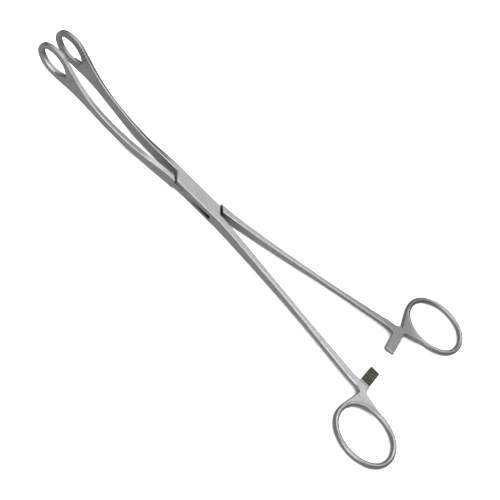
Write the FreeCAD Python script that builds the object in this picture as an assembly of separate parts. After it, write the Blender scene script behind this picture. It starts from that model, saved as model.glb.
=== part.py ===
import FreeCAD, Part
import math
import os

V = FreeCAD.Vector

# Curved ring forceps: two forged halves crossing in a box lock, and the rivet that holds them.
# The box half carries the cheeks of the lock, and the through half passes between them.
# Both halves are drawn closed, then turned apart to the pose in which the forceps lie.
# x runs along the forceps towards the jaws, the rivet's axis is z, and z = 0 is the box's underside.
# The box half has its handle on the +y side and its jaw on the -y side.
# Sizes are in millimetres and angles in degrees.

# Pose and pose limits
open_angle = 7.6

# Box lock
box_height = 5.6
box_half_width = 3.85
shoulder_reach = 14.1
root_length = 1.9
shoulder_angle = 38.0
shoulder_gap = 0.12
cheek_under = 1.35
tongue_height = 1.9
tongue_half_width = 3.45
tongue_play = 0.04
slot_end_gap = 0.4
crotch_radius = 0.6
cheek_corner = 0.6
lock_bevel = 0.35

# Rivet
rivet_radius = 1.75
rivet_play = 0.05

# Shanks
shank_end = 107.0
shank_root_offset = 2.0
shank_end_offset = 12.5
shank_root_slope = 0.075
shank_end_slope = 0.130
shank_root_width = 3.5
shank_waist_width = 2.75
shank_end_width = 3.8
shank_waist = 0.58
shank_end_height = 2.9
shank_taper_power = 1.8
shank_bevel = 0.35
shank_sections = 10
through_slimmer = 0.4

# Finger rings
ring_distance = 6.0
ring_rise = 5.2
ring_half_length = 15.3
ring_half_width = 13.0
ring_side_flat = 1.0
ring_tilt = -1.3
ring_wire_width = 2.72
ring_wire_height = 3.15
neck_bevel = 0.5
neck_rise = 0.3
neck_reach = 1.0
neck_step = 3.2
neck_inner_radius = 2.0
notch_drop = 14.7
notch_inset = 2.4
notch_radius = 1.0

# Ratchet
arm_width = 5.3
arm_distance = 7.4
arm_tip_y = -1.0
arm_tip_radius = 0.7
arm_root_radius = 2.2
arm_bevel = 0.3
ratchet_play = 0.06
tooth_pitch = 1.3
tooth_depth = 0.5
tooth_count = 7
tooth_lead = 0.7

# Jaws
jaw_root_inner = 0.60
jaw_inner = 0.95
jaw_root_width = 2.55
jaw_mid_width = 2.1
jaw_mid_height = 5.3
jaw_straight = 28.7
jaw_bend_radius = 129.5
jaw_rise = 16.0
jaw_outer_drop = 0.75
jaw_end_drop = 0.30
jaw_bevel = 0.35
flare_start = 52.0
root_swell = 0.75
swell_end = 62.0
jaw_sections = 20

# Jaw loops
loop_centre_x = 86.9
loop_half_length = 9.8
loop_half_width = 6.85
loop_end_radius = 5.5
hole_half_width = 3.55
hole_front = 6.9
hole_back = 7.7
hole_front_radius = 2.3
hole_back_radius = 1.3
loop_thickness = 2.25
toe_start = 70.0
toe_angle = 3.0
loop_face_gap = 0.10
loop_outer_round = 0.8
loop_inner_bevel = 0.25
hole_bevel = 0.6
groove_pitch = 1.5
groove_depth = 0.2

box_reach = shoulder_reach + root_length
ring_centre_x = -shank_end - ring_distance - ring_half_length
ring_centre_y = shank_end_offset + ring_rise + ring_half_width
ring_end_radius = ring_half_width - ring_side_flat
blade_end_x = loop_centre_x - loop_half_width / 2
arm_centre_x = -shank_end - arm_distance
arm_root_y = shank_end_offset - shank_end_width / 2
middle_z = box_height / 2
slot_floor = cheek_under
slot_roof = cheek_under + tongue_height + 2 * tongue_play
shoulder_lean = math.tan(math.radians(shoulder_angle))
past = 2.0


def prism(points, low, high, radii=None):
    """Upright solid over a closed outline of (x, y) corners, each rounded by its radius."""
    face = Part.Face(outline(points, radii))
    face.translate(V(0, 0, low))
    return face.extrude(V(0, 0, high - low))


def outline(points, radii=None):
    """Closed wire through the corners, with tangent arcs where a radius is given."""
    corners = [V(x, y, 0) for x, y in points]
    radii = radii or [0] * len(corners)
    starts = []
    ends = []
    arcs = []
    for i, corner in enumerate(corners):
        before = (corners[i - 1] - corner).normalize()
        after = (corners[(i + 1) % len(corners)] - corner).normalize()
        if radii[i] == 0:
            starts.append(corner)
            ends.append(corner)
            arcs.append(None)
            continue
        half_turn = math.acos(before.dot(after)) / 2
        reach = radii[i] / math.tan(half_turn)
        inward = (before + after).normalize()
        centre = corner + inward * (radii[i] / math.sin(half_turn))
        middle = centre - inward * radii[i]
        starts.append(corner + before * reach)
        ends.append(corner + after * reach)
        arcs.append(Part.Arc(starts[i], middle, ends[i]).toShape())
    edges = []
    for i in range(len(corners)):
        if arcs[i]:
            edges.append(arcs[i])
        following = starts[(i + 1) % len(corners)]
        edges.append(Part.LineSegment(ends[i], following).toShape())
    return Part.Wire(edges)


def section(centre, across, up, width, height, drop, bevel):
    """Eight-sided bar section whose outer side, towards across, stands lower by drop."""
    half_width = width / 2
    half_height = height / 2
    corner_list = [
        (-half_width, half_height - bevel),
        (-half_width + bevel, half_height),
        (half_width - bevel, half_height - drop),
        (half_width, half_height - drop - bevel),
        (half_width, -half_height + drop + bevel),
        (half_width - bevel, -half_height + drop),
        (-half_width + bevel, -half_height),
        (-half_width, -half_height + bevel),
    ]
    points = [centre + across * a + up * b for a, b in corner_list]
    return Part.makePolygon(points + [points[0]])


def blend(low, high, share):
    """Smooth step from low to high as share runs from 0 to 1."""
    share = min(max(share, 0.0), 1.0)
    return low + (high - low) * share * share * (3 - 2 * share)


def shank_offset(share):
    """Distance of the shank's centre line from the forceps' middle, a cubic along the shank."""
    span = shank_end - box_reach
    start_weight = 2 * share**3 - 3 * share**2 + 1
    start_slope_weight = share**3 - 2 * share**2 + share
    end_slope_weight = share**3 - share**2
    offset = start_weight * shank_root_offset + (1 - start_weight) * shank_end_offset
    return offset + span * (start_slope_weight * shank_root_slope + end_slope_weight * shank_end_slope)


def shank(slimmer):
    """Tapering bar from the box to the ring's neck, bowed outwards and slimmest at its waist."""
    span = shank_end - box_reach
    wires = []
    for i in range(shank_sections):
        share = i / (shank_sections - 1)
        width = blend(shank_root_width, shank_waist_width, share / shank_waist)
        width = blend(width, shank_end_width, (share - shank_waist) / (1 - shank_waist))
        height = shank_end_height + (box_height - shank_end_height) * (1 - share) ** shank_taper_power
        if 0 < i < shank_sections - 1:
            width -= slimmer
            height -= slimmer
        centre = V(-box_reach - share * span, shank_offset(share), middle_z)
        bevel = blend(shank_bevel, neck_bevel, share)
        wires.append(section(centre, V(0, 1, 0), V(0, 0, 1), width, height, 0, bevel))
    return Part.makeLoft(wires, True)


def oval_arcs(front, back, half_width, front_radius, back_radius):
    """Oval of six tangent arcs about the origin: centre, radius, start angle and sweep of each."""
    halves = []
    for length, end_radius in ((front, front_radius), (back, back_radius)):
        end_offset = length - end_radius
        side_radius = (end_offset**2 + half_width**2 - end_radius**2) / (2 * (half_width - end_radius))
        side_offset = side_radius - half_width
        split = math.degrees(math.atan2(side_offset, end_offset))
        halves.append((end_offset, side_radius, side_offset, split))
    front_offset, front_side, front_drop, front_split = halves[0]
    back_offset, back_side, back_drop, back_split = halves[1]
    return [
        (V(front_offset, 0, 0), front_radius, -front_split, 2 * front_split),
        (V(0, -front_drop, 0), front_side, front_split, 90 - front_split),
        (V(0, -back_drop, 0), back_side, 90, 90 - back_split),
        (V(-back_offset, 0, 0), back_radius, 180 - back_split, 2 * back_split),
        (V(0, back_drop, 0), back_side, 180 + back_split, 90 - back_split),
        (V(0, front_drop, 0), front_side, 270, 90 - front_split),
    ]


def arc_wire(arcs):
    """Closed wire along a list of arcs."""
    edges = []
    for centre, radius, start, sweep in arcs:
        angles = [math.radians(start + sweep * part / 2) for part in range(3)]
        points = [centre + V(math.cos(a), math.sin(a), 0) * radius for a in angles]
        edges.append(Part.Arc(*points).toShape())
    return Part.Wire(edges)


def ring_arcs():
    """The line along the middle of the ring's wire."""
    return oval_arcs(ring_half_length, ring_half_length, ring_half_width, ring_end_radius, ring_end_radius)


def place_ring(shape):
    """Turn and move a shape drawn about the ring's middle to the ring's place."""
    shape.rotate(V(0, 0, 0), V(0, 0, 1), ring_tilt)
    shape.translate(V(ring_centre_x, ring_centre_y, middle_z))
    return shape


def finger_ring():
    """Oval ring of rounded wire, an oval wire section turned along each arc."""
    up = V(0, 0, 1)
    parts = []
    for centre, radius, start, sweep in ring_arcs():
        section_line = Part.Ellipse(V(0, 0, 0), ring_wire_height / 2, ring_wire_width / 2).toShape()
        profile = Part.Face(Part.Wire([section_line]))
        profile.rotate(V(0, 0, 0), V(0, 1, 0), -90)
        profile.rotate(V(0, 0, 0), up, 90)
        profile.translate(V(radius, 0, 0))
        profile.rotate(V(0, 0, 0), up, start)
        profile.translate(centre)
        parts.append(profile.revolve(centre, up, sweep))
    return place_ring(parts[0].fuse(parts[1:]))


def ring_disc():
    """Upright prism over the line of the ring's wire."""
    disc = Part.Face(arc_wire(ring_arcs())).extrude(V(0, 0, 2 * box_height))
    disc.translate(V(0, 0, -box_height))
    return place_ring(disc)


def ring_neck():
    """Flared web from the shank's end to the ring, with a tight notch on its outer side."""
    near_x = arm_centre_x + arm_width / 2
    far_x = arm_centre_x - arm_width / 2
    root_outer = shank_end_offset + shank_end_width / 2
    ring_outer_x = ring_centre_x + ring_half_length + neck_reach
    ring_inner_y = ring_centre_y - ring_half_width - neck_reach
    corners = [
        (-shank_end, arm_root_y),
        (far_x, arm_root_y),
        (far_x, arm_root_y + neck_step),
        (ring_centre_x, ring_inner_y),
        (ring_centre_x, ring_centre_y),
        (ring_outer_x, ring_centre_y),
        (ring_outer_x, ring_centre_y - ring_half_width / 4),
        (ring_outer_x - notch_inset, ring_centre_y - notch_drop),
        (near_x, root_outer + neck_rise),
        (-shank_end, root_outer),
    ]
    radii = [0, 0, neck_inner_radius, 0, 0, 0, 0, notch_radius, 0, 0]
    half_height = shank_end_height / 2
    web = prism(corners, middle_z - half_height, middle_z + half_height, radii)
    rims = []
    for edge in web.Edges:
        level = edge.BoundBox.ZLength < 0.001
        at_shank = edge.BoundBox.XMin > -shank_end - 0.001
        if level and not at_shank:
            rims.append(edge)
    web = web.makeChamfer(neck_bevel, rims)
    return web.cut(ring_disc())


def ratchet_arm(upper):
    """Arm that reaches past the middle, toothed on the face that meets the other arm."""
    low = middle_z - shank_end_height / 2
    high = middle_z - ratchet_play
    near_x = arm_centre_x + arm_width / 2
    far_x = arm_centre_x - arm_width / 2
    back = arm_root_y + shank_end_width / 2
    foot_x = near_x + 2 * arm_root_radius
    corners = [(near_x, arm_tip_y), (far_x, arm_tip_y), (far_x, back)]
    radii = [arm_tip_radius, arm_tip_radius, 0]
    if upper:
        corners += [(foot_x, back), (foot_x, arm_root_y), (near_x, arm_root_y)]
        radii += [0, 0, arm_root_radius]
    else:
        corners += [(near_x, back)]
        radii += [0]
    arm = prism(corners, low, high, radii)
    rims = [e for e in arm.Edges if e.BoundBox.ZMax < low + 0.001 and e.BoundBox.YMax < back - 0.001]
    arm = arm.makeChamfer(arm_bevel, rims)
    for i in range(tooth_count):
        tip_side = arm_tip_y + tooth_lead + i * tooth_pitch
        root_side = tip_side + tooth_pitch
        groove = Part.makePolygon([
            V(far_x - past, tip_side, high),
            V(far_x - past, root_side, high),
            V(far_x - past, tip_side, high - tooth_depth),
            V(far_x - past, tip_side, high),
        ])
        arm = arm.cut(Part.Face(groove).extrude(V(arm_width + 2 * past, 0, 0)))
    if upper:
        arm = arm.mirror(V(0, 0, middle_z), V(0, 0, 1))
    return arm


def jaw_line(x):
    """Point on the jaw's rising centre line in the xz plane, and the unit vector along it."""
    bend_end = jaw_straight + jaw_bend_radius * math.sin(math.radians(jaw_rise))
    if x <= jaw_straight:
        return middle_z, V(1, 0, 0)
    if x < bend_end:
        turn = math.asin((x - jaw_straight) / jaw_bend_radius)
        lift = jaw_bend_radius * (1 - math.cos(turn))
        return middle_z + lift, V(math.cos(turn), 0, math.sin(turn))
    turn = math.radians(jaw_rise)
    lift = jaw_bend_radius * (1 - math.cos(turn)) + (x - bend_end) * math.tan(turn)
    return middle_z + lift, V(math.cos(turn), 0, math.sin(turn))


def toe_in(x):
    """How far the jaw leans to the middle: a parabola along the blade, a straight line in the loop."""
    run = max(x - toe_start, 0)
    reach = blade_end_x - toe_start
    slope = math.tan(math.radians(toe_angle))
    if run < reach:
        return slope * run**2 / (2 * reach)
    return slope * (run - reach / 2)


def jaw(swell):
    """Blade from the box into the loop: flat inside, lower along its outer edge, flared at the loop."""
    wires = []
    for i in range(jaw_sections):
        x = box_reach + (blade_end_x - box_reach) * i / (jaw_sections - 1)
        mid_share = (x - box_reach) / (flare_start - box_reach)
        flare_share = (x - flare_start) / (loop_centre_x - flare_start)
        end_share = (x - flare_start) / (blade_end_x - flare_start)
        inner = blend(jaw_root_inner, jaw_inner, mid_share)
        inner = blend(inner, loop_face_gap, end_share) - toe_in(x)
        width = blend(jaw_root_width, jaw_mid_width, mid_share)
        width = blend(width, loop_thickness, end_share)
        width += swell * blend(1, 0, (x - box_reach) / (swell_end - box_reach))
        height = blend(box_height, jaw_mid_height, 2 * mid_share)
        height = blend(height, 2 * loop_half_width, max(flare_share, 0) ** 2)
        drop = blend(blend(0, jaw_outer_drop, 2 * mid_share), jaw_end_drop, end_share)
        z, along = jaw_line(x)
        up = V(-along.z, 0, along.x)
        centre = V(x, -inner - width / 2, z)
        wires.append(section(centre, V(0, -1, 0), up, width, height, drop, jaw_bevel))
    return Part.makeLoft(wires, True)


def place_loop(shape):
    """Move a shape drawn about the loop's middle, its face towards +y, to the loop's place."""
    centre_z = jaw_line(loop_centre_x)[0]
    shape.rotate(V(0, 0, 0), V(0, 1, 0), -jaw_rise)
    shape.rotate(V(0, 0, 0), V(0, 0, 1), toe_angle)
    shape.translate(V(loop_centre_x, toe_in(loop_centre_x) - loop_face_gap, centre_z))
    return shape


def loop_line(arcs, depth):
    """Upright wire along the arcs, at a depth behind the loop's face."""
    wire = arc_wire(arcs)
    wire.rotate(V(0, 0, 0), V(1, 0, 0), 90)
    wire.translate(V(0, -depth, 0))
    return wire


def hole_line(grow, depth):
    """Line of the loop's hole, pointed towards the box, grown outwards for the bevels."""
    arcs = oval_arcs(hole_front + grow, hole_back + grow, hole_half_width + grow,
                     hole_front_radius + grow, hole_back_radius + grow)
    return loop_line(arcs, depth)


def loop_plate():
    """Oval plate of the jaw's tip, flat inside and rounded outside."""
    arcs = oval_arcs(loop_half_length, loop_half_length, loop_half_width, loop_end_radius, loop_end_radius)
    plate = Part.Face(loop_line(arcs, 0)).extrude(V(0, -loop_thickness, 0))
    outside = [e for e in plate.Edges if e.BoundBox.YMax < 0.001 - loop_thickness]
    plate = plate.makeFillet(loop_outer_round, outside)
    inside = [e for e in plate.Edges if e.BoundBox.YMin > -0.001]
    return place_loop(plate.makeChamfer(loop_inner_bevel, inside))


def loop_hole():
    """Tools that cut the loop's hole and bevel its outer rim."""
    tools = [Part.Face(hole_line(0, -past)).extrude(V(0, -loop_thickness - 2 * past, 0))]
    wide = hole_line(hole_bevel, loop_thickness)
    narrow = hole_line(0, loop_thickness - hole_bevel)
    tools.append(Part.makeLoft([wide, narrow], True, True))
    return [place_loop(tool) for tool in tools]


def serrations():
    """Cross grooves over the loop's gripping face, as far as its hole reaches."""
    count = int(hole_back / groove_pitch)
    tools = []
    for i in range(-count, count + 1):
        x = i * groove_pitch
        groove = Part.makePolygon([
            V(x - 2 * groove_depth, groove_depth, -2 * loop_half_width),
            V(x, -groove_depth, -2 * loop_half_width),
            V(x + 2 * groove_depth, groove_depth, -2 * loop_half_width),
            V(x - 2 * groove_depth, groove_depth, -2 * loop_half_width),
        ])
        tools.append(place_loop(Part.Face(groove).extrude(V(0, 0, 4 * loop_half_width))))
    return tools


def shoulder_x(y):
    """Where the cheek's distal end lies at a given y."""
    return shoulder_reach - shoulder_lean * y


def bevel_rims(solid, bevel):
    """Bevel the top and bottom rims, but not where the block runs on into shank and jaw."""
    rims = []
    for edge in solid.Edges:
        heights = [v.Z for v in edge.Vertexes]
        level = abs(heights[0] - heights[-1]) < 0.001
        on_face = min(abs(heights[0]), abs(heights[0] - box_height)) < 0.001
        at_end = all(abs(abs(v.X) - box_reach) < 0.001 for v in edge.Vertexes)
        if level and on_face and not at_end:
            rims.append(edge)
    return solid.makeChamfer(bevel, rims)


def lock_hexagon(half_width, apex):
    """Six-sided plan shared by the slot and the tongue, pointed at both crotches."""
    end_x = apex - shoulder_lean * half_width
    return [
        (apex, 0), (end_x, half_width), (-end_x, half_width),
        (-apex, 0), (-end_x, -half_width), (end_x, -half_width),
    ]


def box_block():
    """The box: two cheeks with slanted ends, joined at both ends, with the slot between them."""
    shank_inner = shank_root_offset - shank_root_width / 2
    shank_outer = shank_root_offset + shank_root_width / 2
    jaw_outer = jaw_root_inner + jaw_root_width + root_swell
    crotch_y = -jaw_root_inner / 2
    corners = [
        (shoulder_x(crotch_y), crotch_y),
        (shoulder_x(box_half_width), box_half_width),
        (-shoulder_reach, box_half_width),
        (-box_reach, shank_outer),
        (-box_reach, shank_inner),
        (-shoulder_x(crotch_y), -crotch_y),
        (-shoulder_x(box_half_width), -box_half_width),
        (shoulder_reach, -box_half_width),
        (box_reach, -jaw_outer),
        (box_reach, -jaw_root_inner),
    ]
    radii = [crotch_radius, cheek_corner, 0, 0, 0, crotch_radius, cheek_corner, 0, 0, 0]
    block = bevel_rims(prism(corners, 0, box_height, radii), lock_bevel)
    slot_plan = lock_hexagon(box_half_width + past, shoulder_reach + slot_end_gap)
    slot = prism(slot_plan, slot_floor, slot_roof)
    return block.cut(slot)


def through_block():
    """The tongue that passes through the box, and full-height roots, drawn before mirroring."""
    low = slot_floor + tongue_play
    tongue = prism(lock_hexagon(tongue_half_width, shoulder_reach + slot_end_gap / 2),
                   low, low + tongue_height)
    jaw_outer = jaw_root_inner + jaw_root_width
    jaw_root = [
        (shoulder_x(jaw_root_inner) + shoulder_gap, -jaw_root_inner),
        (box_reach, -jaw_root_inner),
        (box_reach, -jaw_outer),
        (shoulder_x(tongue_half_width) + shoulder_gap, -tongue_half_width),
    ]
    shank_inner = shank_root_offset - shank_root_width / 2
    shank_outer = shank_root_offset + shank_root_width / 2
    shank_root = [
        (-shoulder_x(shank_inner) - shoulder_gap, shank_inner),
        (-box_reach, shank_inner),
        (-box_reach, shank_outer),
        (-shoulder_x(box_half_width) - shoulder_gap, box_half_width),
    ]
    roots = [bevel_rims(prism(plan, 0, box_height), lock_bevel) for plan in (jaw_root, shank_root)]
    return tongue.fuse(roots)


def rivet_hole(radius):
    """Cylinder on the pivot axis, longer than the lock is tall."""
    return Part.makeCylinder(radius, box_height + 2 * past, V(0, 0, -past))


def forging(swell, slimmer, upper_arm):
    """Everything that both halves share: shank, ring, ratchet arm, jaw and loop."""
    handle = shank(slimmer).fuse([finger_ring(), ring_neck(), ratchet_arm(upper_arm)])
    blade = jaw(swell).fuse(loop_plate()).cut(loop_hole())
    return handle.fuse(blade)


def box_half():
    """Female half: handle on the +y side, teeth upwards."""
    solid = forging(root_swell, 0, False).fuse(box_block())
    solid = solid.cut([rivet_hole(rivet_radius)] + serrations())
    solid.rotate(V(0, 0, 0), V(0, 0, 1), -open_angle / 2)
    return solid


def through_half():
    """Male half: the same forging with the tongue, mirrored, its teeth facing down."""
    solid = forging(0, through_slimmer, True).fuse(through_block())
    solid = solid.cut([rivet_hole(rivet_radius + rivet_play)] + serrations())
    solid = solid.mirror(V(0, 0, 0), V(0, 1, 0))
    solid.rotate(V(0, 0, 0), V(0, 0, 1), open_angle / 2)
    return solid


def rivet():
    """Rivet pressed into the cheeks and ground flush with them."""
    return Part.makeCylinder(rivet_radius, box_height)


os.makedirs("parts", exist_ok=True)
pieces = {"box_half": box_half(), "through_half": through_half(), "pivot_rivet": rivet()}
for name, shape in pieces.items():
    print(name, shape.isValid(), len(shape.Solids), round(shape.Volume, 2), shape.BoundBox)
    shape.exportStep("parts/" + name + ".step")
overlap = pieces["box_half"].common(pieces["through_half"]).Volume
print("overlap of the halves", round(overlap, 4))
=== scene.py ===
import math

import bpy
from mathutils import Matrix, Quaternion, Vector

# Ring forceps in satin stainless steel on a plain pale floor
# Lengths are in metres and angles in degrees, except the camera's lens, which is in millimetres

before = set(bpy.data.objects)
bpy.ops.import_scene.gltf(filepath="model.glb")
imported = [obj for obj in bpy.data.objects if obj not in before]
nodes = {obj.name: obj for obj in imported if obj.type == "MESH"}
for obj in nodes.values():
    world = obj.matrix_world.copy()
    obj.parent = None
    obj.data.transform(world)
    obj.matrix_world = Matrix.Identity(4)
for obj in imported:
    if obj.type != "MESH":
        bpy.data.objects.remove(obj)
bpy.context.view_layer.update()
scene = bpy.context.scene

# Camera: above the box half's side, and rolled so that the forceps lie diagonally in the picture
camera_place = Vector((-0.03545, 0.33767, 0.37847))
camera_target = Vector((-0.03495, 0.00281, 0.00259))
camera_roll = 41.56
camera_lens = 79.0
camera_near = 0.01

# How far each half is turned from the forceps' centre line
half_turn = 3.8

# Steel: two tints of the clean metal, the bright colour of its edges (rubbed wear and painted
# highlight), a dark tone for its duller texture, its darker stretches and the painted shade beside
# edges, and the roughness where the texture is dullest and where it is cleanest
steel_cool = (0.58, 0.58, 0.60)
steel_warm = (0.60, 0.59, 0.57)
steel_wear_and_highlight = (0.80, 0.80, 0.80)
steel_shade = (0.20, 0.20, 0.20)
roughness_range = (0.40, 0.28)

# Sizes of the marks along, across and up: grinding streaks, mottling, clouds of tint, and grain
streak_size = (0.010, 0.0004, 0.0004)
mottle_size = (0.0009, 0.0009, 0.0009)
cloud_size = (0.012, 0.012, 0.012)
grain_size = (0.0005, 0.0005, 0.0005)

# Whole range of a mask or of the texture
full_range = (0.0, 1.0)

# Noise values between which each mark goes from none to full. Streaks and mottling each give half
# of the texture, and the metal is shaded most where the texture is low
streak_range = (0.3, 0.7)
mottle_range = (0.40, 0.60)
cloud_range = (0.35, 0.65)
texture_share = (0.0, 0.5)
texture_shade = (0.55, 0.0)
grain_depth = 0.00005
grain_strength = 0.15

# Edges: the radius of the bright wear and painted highlight, and of the painted shade beside it on
# upright faces, with that shade's strength.
# An edge begins and is full at these cosines of the angle between a face and its rounded edge.
# The wear and painted highlight grow with the noise of the streaks, from their first share to
# their second
edge_radius = 0.00025
edge_cosine = (0.99, 0.90)
wear_and_highlight_range = (0.35, 0.65)
wear_and_highlight_share = (0.25, 0.9)
margin_radius = 0.0008
margin_shade = 0.65

# Upright and level faces change over between these heights of the face's unit normal
upright_range = (0.4, 0.6)

# X values between which the darkening goes from none to full: from the shank on, from the ring
# back, and from the blade on
shank_range = (-0.05, -0.11)
ring_range = (-0.126, -0.118)
blade_range = (0.04, 0.08)
through_handle_shade = 0.55
box_jaw_shade = 0.10

# Painted shade, near black: in grooves and narrow gaps, and thinner where the two halves face each
# other closely.
# It goes from most to none between these shares of open space around a spot
painted_shade_colour = (0.035, 0.033, 0.030)
groove_reach = 0.0009
groove_openness = (0.15, 0.70)
groove_painted_shade = (0.95, 0.0)
hollow_reach = 0.010
hollow_openness = (0.05, 0.85)
hollow_painted_shade = (0.92, 0.0)

# Toothed arm of the box half: a brown stain, partly painted shade for the teeth's dark
# reflections, that thins with the noise of the mottling, painted shade in the gaps between the
# teeth, and a dark line of painted shade at the root. Stain and line fill upright boxes and fade
# out around them, over a margin that is counted in half sizes of the box
stain_and_shade_colour = (0.40, 0.375, 0.325)
stain_and_shade_range = (0.3, 0.7)
stain_and_shade_share = (0.95, 0.7)
tooth_gap_openness = (0.50, 0.75)
tooth_gap_painted_shade = (0.65, 0.0)
arm_centre = (-0.1138, 0.0124, 0.0)
arm_half_size = (0.00275, 0.0062, 0.01)
root_centre = (-0.1134, 0.0180, 0.0)
root_half_size = (0.0030, 0.0005, 0.01)
box_margin = (1.0, 1.12)

# Random directions that are tried at each spot for the edges and for the open space around it
spot_samples = 8

# Floor
floor_colour = (0.90, 0.90, 0.90)
floor_roughness = 0.9
floor_size = 6.0

# Room, from straight down (-1) to straight up (1), each height with its brightness
room_bands = ((-1.0, 0.44), (-0.40, 0.44), (-0.08, 0.20), (0.25, 0.22), (1.0, 0.34))

# Spot on the rivet's axis that the softboxes face
softbox_target = Vector((0.0, 0.0, 0.0))


class Shader:
    """A material's node tree, with short calls that add nodes and link them."""

    def __init__(self, name):
        self.material = bpy.data.materials.new(name)
        self.material.use_nodes = True
        self.nodes = self.material.node_tree.nodes
        self.links = self.material.node_tree.links
        self.surface = self.nodes["Principled BSDF"]

    def add(self, kind, **settings):
        node = self.nodes.new(kind)
        for key, value in settings.items():
            setattr(node, key, value)
        return node

    def feed(self, source, target, socket):
        self.links.new(source, target.inputs[socket])

    def place(self, rotation=(0, 0, 0), scale=(1, 1, 1), centre=(0, 0, 0)):
        """Object coordinates about a centre, turned, and measured in units of the scale."""
        coordinates = self.add("ShaderNodeTexCoord")
        mapping = self.add("ShaderNodeMapping", vector_type="TEXTURE")
        mapping.inputs["Location"].default_value = centre
        mapping.inputs["Rotation"].default_value = rotation
        mapping.inputs["Scale"].default_value = scale
        self.feed(coordinates.outputs["Object"], mapping, "Vector")
        return mapping.outputs["Vector"]

    def split(self, vector):
        """The three parts of a vector, to be picked by the names X, Y and Z."""
        node = self.add("ShaderNodeSeparateXYZ")
        self.feed(vector, node, "Vector")
        return node.outputs

    def noise(self, vector, detail, roughness=0.55):
        """Noise with marks about one unit of the vector in size."""
        node = self.add("ShaderNodeTexNoise")
        node.inputs["Scale"].default_value = 1.0
        node.inputs["Detail"].default_value = detail
        node.inputs["Roughness"].default_value = roughness
        self.feed(vector, node, "Vector")
        return node.outputs["Fac"]

    def remap(self, value, old_range, new_range=full_range):
        """Value stretched from one range to another, and held at the ends of both."""
        node = self.add("ShaderNodeMapRange")
        node.inputs["From Min"].default_value, node.inputs["From Max"].default_value = old_range
        node.inputs["To Min"].default_value, node.inputs["To Max"].default_value = new_range
        self.feed(value, node, "Value")
        return node.outputs["Result"]

    def mix(self, factor, first, second):
        """Blend of two colours, each given as numbers or as another node's output."""
        node = self.add("ShaderNodeMix", data_type="RGBA")
        for socket, colour in (("A", first), ("B", second)):
            if isinstance(colour, tuple):
                node.inputs[socket].default_value = (*colour, 1)
            else:
                self.feed(colour, node, socket)
        self.feed(factor, node, "Factor")
        return node.outputs["Result"]

    def math(self, operation, *values):
        """Result of an operation on values, each a number or another node's output."""
        node = self.add("ShaderNodeMath", operation=operation)
        for socket, value in enumerate(values):
            if isinstance(value, float):
                node.inputs[socket].default_value = value
            else:
                self.feed(value, node, socket)
        return node.outputs["Value"]

    def openness(self, reach):
        """1 on open surfaces, towards 0 where something stands within the reach."""
        node = self.add("ShaderNodeAmbientOcclusion", samples=spot_samples)
        node.inputs["Distance"].default_value = reach
        return node.outputs["AO"]

    def rounded_normal(self, radius):
        """The face's direction, turned near edges as if they were rounded to the radius."""
        node = self.add("ShaderNodeBevel", samples=spot_samples)
        node.inputs["Radius"].default_value = radius
        return node.outputs["Normal"]

    def face_normal(self):
        return self.add("ShaderNodeNewGeometry").outputs["Normal"]

    def edge_mask(self, rounded):
        """1 on the edges, where the rounded normal leaves the face's own, and 0 elsewhere."""
        cosine = self.add("ShaderNodeVectorMath", operation="DOT_PRODUCT")
        self.feed(rounded, cosine, 0)
        self.feed(self.face_normal(), cosine, 1)
        return self.remap(cosine.outputs["Value"], edge_cosine)

    def side_mask(self):
        """1 on upright faces and 0 on level ones."""
        slope = self.math("ABSOLUTE", self.split(self.face_normal())["Z"])
        return self.remap(slope, upright_range, (1.0, 0.0))

    def box_mask(self, centre, rotation, half_size):
        """1 within a turned upright box and 0 a little outside it."""
        parts = self.split(self.place(rotation, half_size, centre))
        along = self.math("ABSOLUTE", parts["X"])
        across = self.math("ABSOLUTE", parts["Y"])
        return self.remap(self.math("MAXIMUM", along, across), box_margin, (1.0, 0.0))


def darkening(shader, lay, handle_shade, jaw_shade):
    """How much darker the steel is along a half: towards the ring but not on it, and towards the
    loop.
    """
    along = shader.split(shader.place(lay))["X"]
    at_handle = shader.math("MINIMUM",
                            shader.remap(along, shank_range, (0.0, handle_shade)),
                            shader.remap(along, ring_range, (0.0, handle_shade)))
    at_jaw = shader.remap(along, blade_range, (0.0, jaw_shade))
    return shader.math("ADD", at_handle, at_jaw)


def clean_steel(shader, texture):
    """Bare metal in two tints, with its texture and painted shade along the edges of its upright
    faces.
    """
    clouds = shader.noise(shader.place(scale=cloud_size), detail=2.0)
    steel = shader.mix(shader.remap(clouds, cloud_range), steel_cool, steel_warm)
    steel = shader.mix(shader.remap(texture, full_range, texture_shade), steel, steel_shade)
    # Painted shade along the edges of upright faces
    margin = shader.math("MULTIPLY", shader.side_mask(),
                         shader.edge_mask(shader.rounded_normal(margin_radius)))
    return shader.mix(shader.math("MULTIPLY", margin, margin_shade), steel, steel_shade)


def steel_with_wear_and_highlight(shader, steel, rounded, streaks):
    """The metal with its edges brightened, as rubbed wear and as painted highlight."""
    # Bright edges: rubbed wear and painted highlight
    wear_and_highlight = shader.math("MULTIPLY", shader.edge_mask(rounded),
                       shader.remap(streaks, wear_and_highlight_range, wear_and_highlight_share))
    return shader.mix(wear_and_highlight, steel, steel_wear_and_highlight)


def steel_with_painted_shade(shader, steel, on_arm):
    """The metal with painted shade between the halves, in its grooves, and between the arm's
    teeth.
    """
    # Painted shade where the two halves face each other closely
    hollow = shader.remap(shader.openness(hollow_reach), hollow_openness, hollow_painted_shade)
    steel = shader.mix(hollow, steel, painted_shade_colour)
    openness = shader.openness(groove_reach)
    # Painted shade in the gaps between the arm's teeth
    teeth_shade = shader.math("MULTIPLY", on_arm, shader.remap(openness, tooth_gap_openness, tooth_gap_painted_shade))
    # Painted shade in grooves and narrow gaps
    groove = shader.remap(openness, groove_openness, groove_painted_shade)
    return shader.mix(shader.math("MAXIMUM", teeth_shade, groove), steel, painted_shade_colour)


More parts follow.
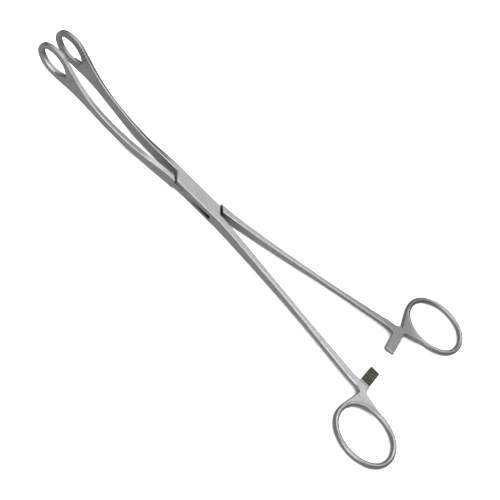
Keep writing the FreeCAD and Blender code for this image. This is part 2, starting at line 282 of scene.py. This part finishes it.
def add_grain(shader, rounded):
    """Fine grain of the blasting, raised on the softened edges and the faces alike."""
    grain = shader.noise(shader.place(scale=grain_size), detail=3.0)
    bump = shader.add("ShaderNodeBump")
    bump.inputs["Strength"].default_value = grain_strength
    bump.inputs["Distance"].default_value = grain_depth
    shader.feed(grain, bump, "Height")
    shader.feed(rounded, bump, "Normal")
    shader.feed(bump.outputs["Normal"], shader.surface, "Normal")


def satin_steel(name, turn, handle_shade, jaw_shade):
    """Stainless steel, ground along the instrument, blasted to satin, with painted shade in its
    hollows.

    The two shades are how much darker the steel gets towards the ring and towards the loop.
    """
    shader = Shader(name)
    lay = (0, 0, math.radians(turn))
    streaks = shader.noise(shader.place(lay, streak_size), detail=4.0)
    mottle = shader.noise(shader.place(scale=mottle_size), detail=4.0, roughness=0.7)
    texture = shader.math("ADD", shader.remap(streaks, streak_range, texture_share),
                          shader.remap(mottle, mottle_range, texture_share))
    rounded = shader.rounded_normal(edge_radius)

    steel = clean_steel(shader, texture)
    steel = shader.mix(darkening(shader, lay, handle_shade, jaw_shade), steel, steel_shade)
    on_arm = shader.box_mask(arm_centre, lay, arm_half_size)
    # Brown stain on the toothed arm, partly painted shade for the teeth's dark reflections
    stain_and_shade = shader.math("MULTIPLY", on_arm, shader.remap(mottle, stain_and_shade_range, stain_and_shade_share))
    steel = shader.mix(stain_and_shade, steel, stain_and_shade_colour)
    steel = steel_with_wear_and_highlight(shader, steel, rounded, streaks)
    # Painted shade: a dark line at the arm's root
    steel = shader.mix(shader.box_mask(root_centre, lay, root_half_size), steel, painted_shade_colour)
    steel = steel_with_painted_shade(shader, steel, on_arm)
    shader.feed(steel, shader.surface, "Base Color")

    roughness = shader.remap(texture, full_range, roughness_range)
    shader.feed(roughness, shader.surface, "Roughness")
    shader.surface.inputs["Metallic"].default_value = 1.0
    add_grain(shader, rounded)
    return shader.material


def floor_paint():
    """Matt, almost white paper."""
    shader = Shader("floor_paper")
    shader.surface.inputs["Base Color"].default_value = (*floor_colour, 1)
    shader.surface.inputs["Roughness"].default_value = floor_roughness
    shader.surface.inputs["Specular IOR Level"].default_value = 0.0
    return shader.material


def add_floor():
    """Square floor that is left out of reflections, of shadows and of the search for hollows."""
    half = floor_size / 2
    mesh = bpy.data.meshes.new("floor")
    corners = [(-half, -half, 0), (half, -half, 0), (half, half, 0), (-half, half, 0)]
    mesh.from_pydata(corners, [], [(0, 1, 2, 3)])
    mesh.materials.append(floor_paint())
    floor = bpy.data.objects.new("floor", mesh)
    scene.collection.objects.link(floor)
    floor.visible_glossy = False
    floor.visible_shadow = False


def add_softbox(name, place, width, height, radiance, in_reflections=True):
    """Rectangular area light of an even brightness that faces the softboxes' target."""
    light = bpy.data.lights.new(name, "AREA")
    light.shape = "RECTANGLE"
    light.size = width
    light.size_y = height
    light.energy = radiance * math.pi * width * height
    lamp = bpy.data.objects.new(name, light)
    scene.collection.objects.link(lamp)
    lamp.location = place
    lamp.rotation_mode = "QUATERNION"
    lamp.rotation_quaternion = (softbox_target - Vector(place)).to_track_quat("-Z", "Y")
    lamp.visible_glossy = in_reflections


def add_world():
    """Dim room: a pale table below, dimmer along the horizon, a soft ceiling above."""
    world = bpy.data.worlds.new("studio")
    world.use_nodes = True
    tree = world.node_tree
    direction = tree.nodes.new("ShaderNodeTexCoord")
    parts = tree.nodes.new("ShaderNodeSeparateXYZ")
    height = tree.nodes.new("ShaderNodeMapRange")
    height.inputs["From Min"].default_value = -1.0
    ramp = tree.nodes.new("ShaderNodeValToRGB")
    stops = ramp.color_ramp.elements
    for level, _ in room_bands[1:-1]:
        stops.new((level + 1) / 2)
    for stop, (_, radiance) in zip(stops, room_bands):
        stop.color = (radiance, radiance, radiance, 1)
    tree.links.new(direction.outputs["Generated"], parts.inputs["Vector"])
    tree.links.new(parts.outputs["Z"], height.inputs["Value"])
    tree.links.new(height.outputs["Result"], ramp.inputs["Fac"])
    tree.links.new(ramp.outputs["Color"], tree.nodes["Background"].inputs["Color"])
    scene.world = world


def add_camera():
    data = bpy.data.cameras.new("camera")
    data.lens = camera_lens
    data.clip_start = camera_near
    camera = bpy.data.objects.new("camera", data)
    scene.collection.objects.link(camera)
    camera.location = camera_place
    camera.rotation_mode = "QUATERNION"
    level = (camera_target - camera_place).to_track_quat("-Z", "Y")
    camera.rotation_quaternion = level @ Quaternion((0, 0, 1), math.radians(camera_roll))
    scene.camera = camera


box_steel = satin_steel("box_half_satin", -half_turn, 0.0, box_jaw_shade)
through_steel = satin_steel("through_half_satin", half_turn, through_handle_shade, 0.0)
nodes["box_half"].material_slots[0].material = box_steel
nodes["through_half"].material_slots[0].material = through_steel
nodes["pivot_rivet"].material_slots[0].material = box_steel

add_floor()
add_world()
add_softbox("overhead", (0.0, -0.41, 1.02), width=1.6, height=0.84, radiance=1.35)
add_softbox("behind_camera", (-0.1, 0.8, 0.75), width=1.0, height=0.7, radiance=1.9)
add_softbox("floor_fill", (0.0, 0.0, 1.2), width=3.0, height=3.0, radiance=3.2,
            in_reflections=False)
add_camera()

scene.view_settings.view_transform = "Standard"
